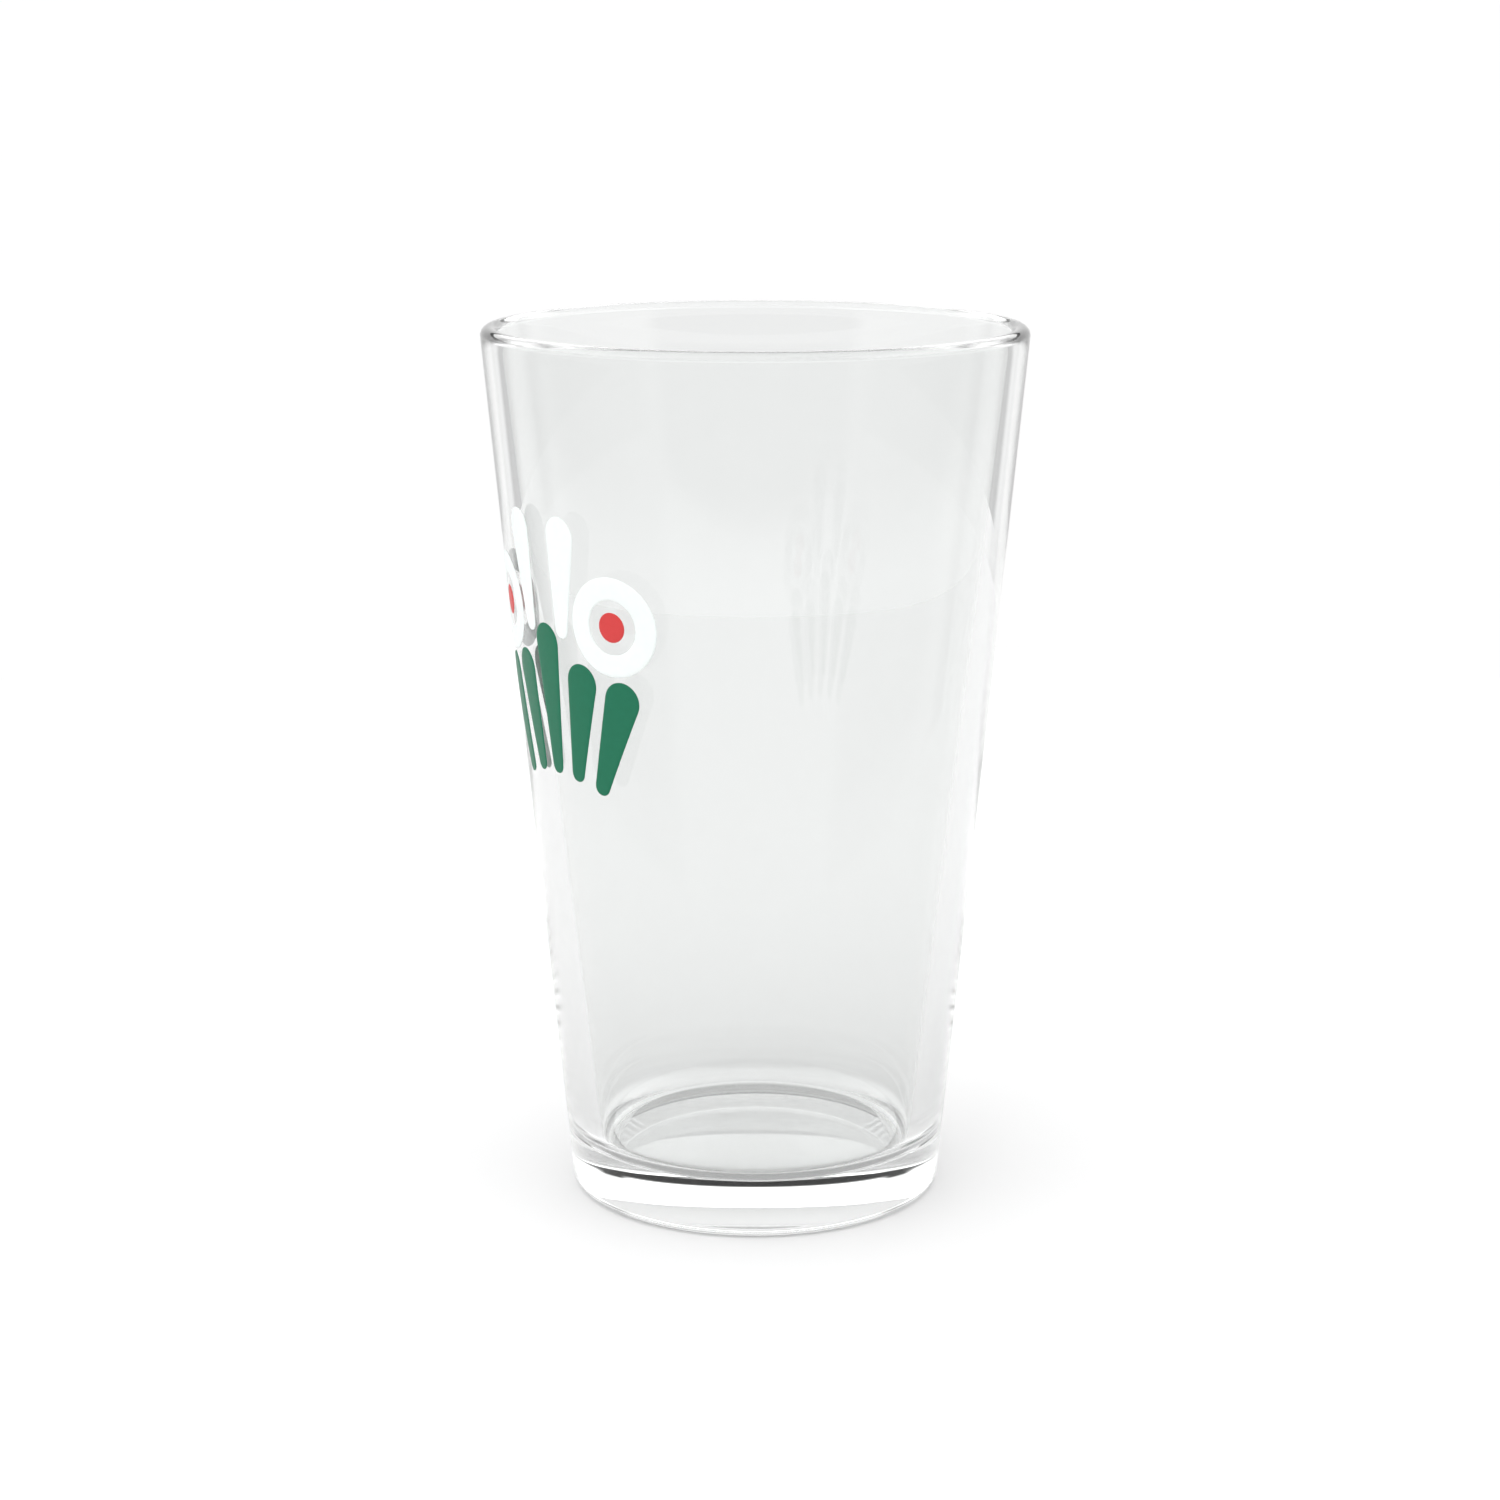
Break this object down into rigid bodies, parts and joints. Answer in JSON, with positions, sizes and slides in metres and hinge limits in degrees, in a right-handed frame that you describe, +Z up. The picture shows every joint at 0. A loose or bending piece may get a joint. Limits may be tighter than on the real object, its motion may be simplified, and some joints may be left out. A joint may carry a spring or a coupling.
{
  "type": "pint glass",
  "caption": "Clear conical pint glass with a thick solid base, a rounded rim and a fan of petals with two ringed berries printed in white, green and red ink on one side of the wall.",
  "frame": {"origin": "middle of the foot, on the surface that the glass stands on", "axes": "+Z up along the axis of the glass, -Y towards the middle of the print, +X to the right of the print"},
  "size_m": [0.0888, 0.0888, 0.145],
  "materials": {
    "clear_glass": "smooth clear soda-lime glass, fire-polished rim",
    "white_ink": "cured white printing ink, semi-gloss",
    "green_ink": "cured green printing ink, semi-gloss",
    "red_ink": "cured red printing ink, semi-gloss"
  },
  "bodies": {
    "root": {"glass_body": "clear_glass", "ink_white": "white_ink", "ink_green": "green_ink", "ink_red": "red_ink"}
  },
  "joints": []
}
